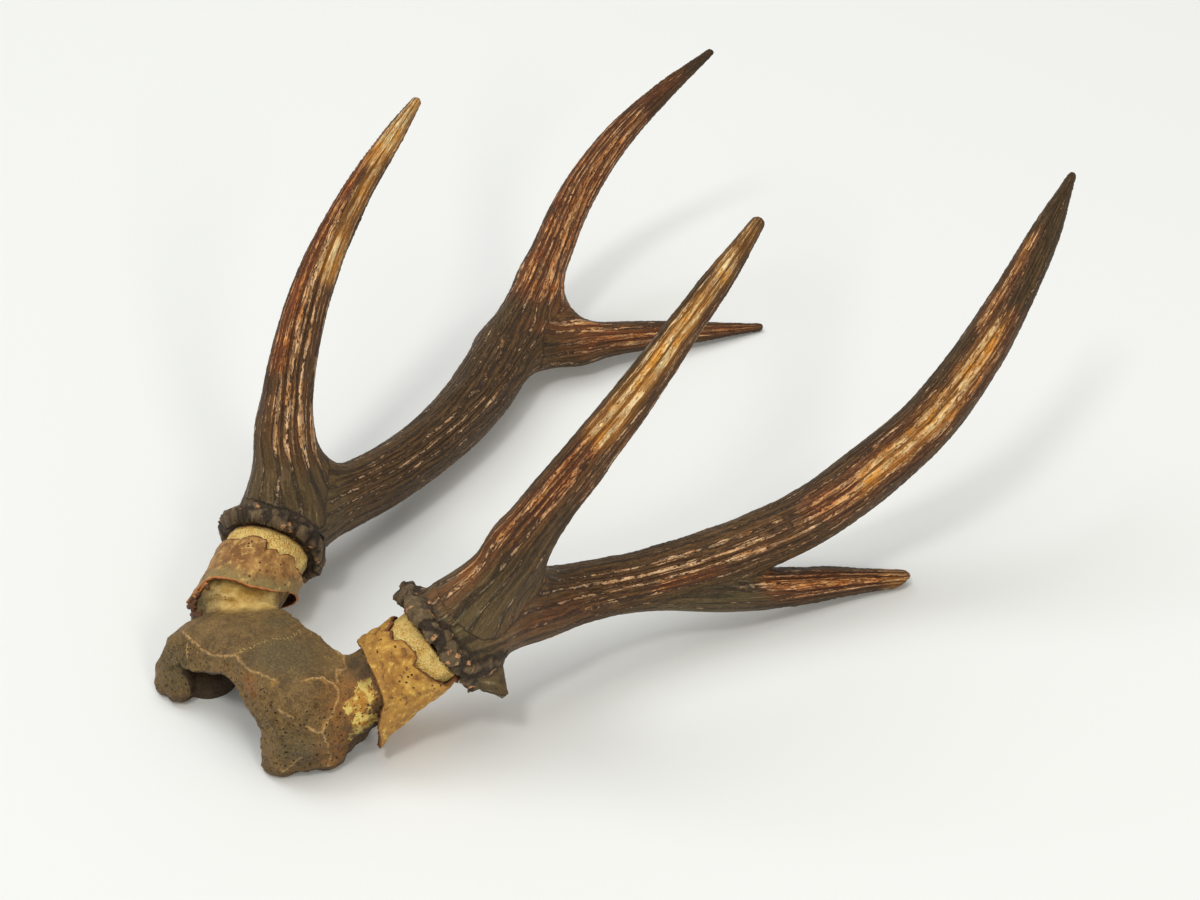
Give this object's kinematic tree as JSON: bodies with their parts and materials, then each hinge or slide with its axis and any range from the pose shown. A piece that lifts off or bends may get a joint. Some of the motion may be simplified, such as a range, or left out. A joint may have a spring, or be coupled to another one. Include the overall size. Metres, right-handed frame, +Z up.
{
  "type": "deer antler",
  "caption": "Pair of forked deer antlers with knobbly burrs, still grown on the sawn-off top of the skull, dried hide round the pedicles.",
  "frame": {"origin": "under the middle of the whole object, on the surface that it lies on", "axes": "+Y from the skull plate to the antler tips, +X to the right of that, +Z up"},
  "size_m": [0.2853, 0.4299, 0.202],
  "materials": {
    "skull_bone": "dry matte bone",
    "dried_skin": "dried hide",
    "antler": "satin, ridged and worn"
  },
  "bodies": {
    "root": {"skull_plate": "skull_bone", "left_pedicle_skin": "dried_skin", "right_pedicle_skin": "dried_skin", "left_beam": "antler", "left_brow_tine": "antler", "left_rear_tine": "antler", "right_beam": "antler", "right_brow_tine": "antler", "right_rear_tine": "antler"}
  },
  "joints": []
}
